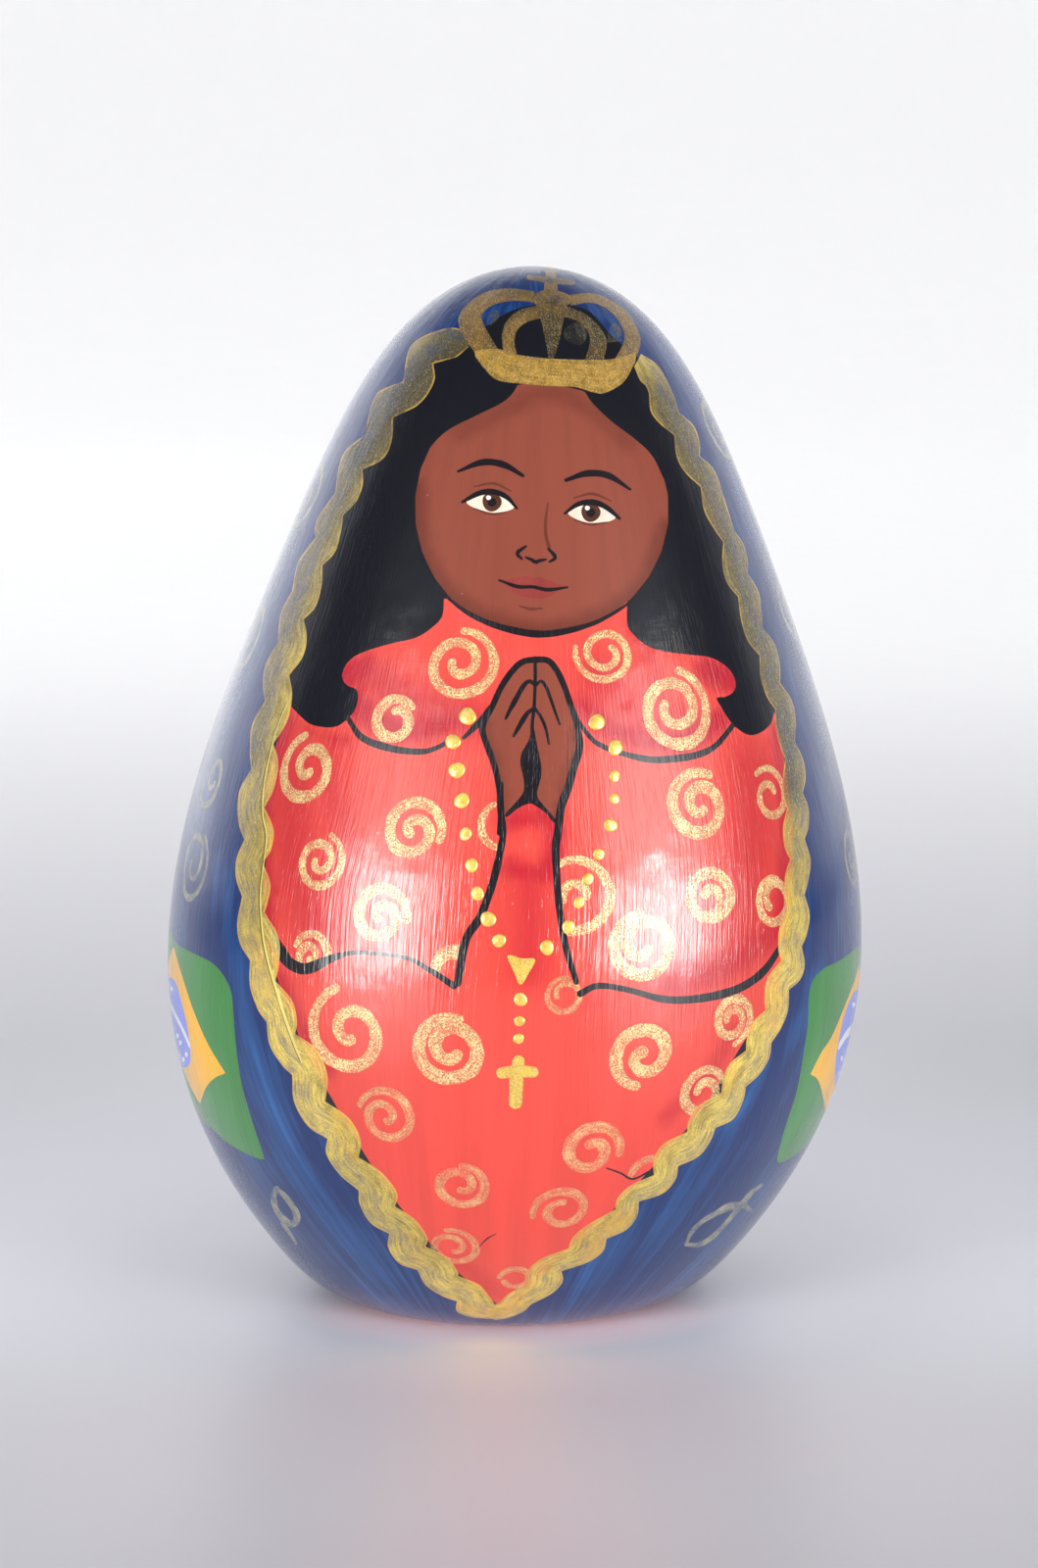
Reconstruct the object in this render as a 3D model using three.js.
// Hand-formed ceramic statuette of a mantled figure: one closed, egg-shaped body that leans a little
// to the right and stands on a small flat foot. Everything else on it is flat painting, which
// is colour and not form.
//
// Millimetres, +Z up. The painted front faces -Y. The origin is at the bottom centre of the box
// around the body, on the plane of the foot.

import * as THREE from 'three';

// The body
const HEIGHT = 180; // foot plane to crown
const SUNK_DEPTH = 24.4; // how far the round bottom would go on below the foot plane
const LEAN = 0.0248; // sideways shift of each level per unit of height
const FOOT_EDGE = 8; // size of the soft turn between the foot and the side

// Shape factors of the side curve, from the foot up: a full belly, then a long slope to the crown
const SIDE_FACTORS = [0.2439, 1.1887, -3.2928, 2.6145, -0.4923];

// How finely the form is cut into flat faces
const SEGMENTS_ROUND = 72;
const RINGS_UP = 40;
const RINGS_IN_EDGE = 5;

const PAINTED_CERAMIC = new THREE.MeshStandardMaterial({ color: 0x1d3a86, roughness: 0.16, metalness: 0 });

// Radius of the body at a height: an ellipse-like curve, swelled and drawn in by the shape factors
function sideRadius(height) {
  const fraction = height / HEIGHT;
  const swell = SIDE_FACTORS.reduceRight((sum, factor) => sum * fraction + factor, 0);
  return Math.sqrt(Math.max(0, (HEIGHT - height) * (height + SUNK_DEPTH) * swell));
}

// Rounded turn from the flat foot into the side: a quadratic curve that leaves the foot level and
// meets the side along its own slope
function footEdge() {
  const side = new THREE.Vector2(sideRadius(FOOT_EDGE), FOOT_EDGE);
  const slope = sideRadius(FOOT_EDGE + 0.5) - sideRadius(FOOT_EDGE - 0.5);
  const corner = new THREE.Vector2(side.x - slope * FOOT_EDGE, 0);
  const inner = new THREE.Vector2(corner.x - FOOT_EDGE, 0);
  return new THREE.QuadraticBezierCurve(inner, corner, side).getPoints(RINGS_IN_EDGE);
}

// Half section of the body, from the middle of the foot round to the crown
function halfSection() {
  const points = [new THREE.Vector2(0, 0), ...footEdge()];
  for (let ring = 1; ring <= RINGS_UP; ring += 1) {
    // Rings crowd towards the crown, where the section turns fastest
    const rise = Math.sin((ring / RINGS_UP) * (Math.PI / 2));
    const height = FOOT_EDGE + (HEIGHT - FOOT_EDGE) * rise;
    points.push(new THREE.Vector2(ring === RINGS_UP ? 0 : sideRadius(height), height));
  }
  return points;
}

function makeBody() {
  const geometry = new THREE.LatheGeometry(halfSection(), SEGMENTS_ROUND);
  geometry.rotateX(Math.PI / 2);
  geometry.applyMatrix4(new THREE.Matrix4().makeShear(0, 0, 0, 0, LEAN, 0));
  geometry.computeBoundingBox();
  const centre = geometry.boundingBox.getCenter(new THREE.Vector3());
  geometry.translate(-centre.x, -centre.y, 0);
  geometry.computeVertexNormals();
  const body = new THREE.Mesh(geometry, PAINTED_CERAMIC);
  body.name = 'statuette_body';
  return body;
}

const statuette = new THREE.Group();
statuette.name = 'ceramic_statuette';
statuette.add(makeBody());

export default statuette;
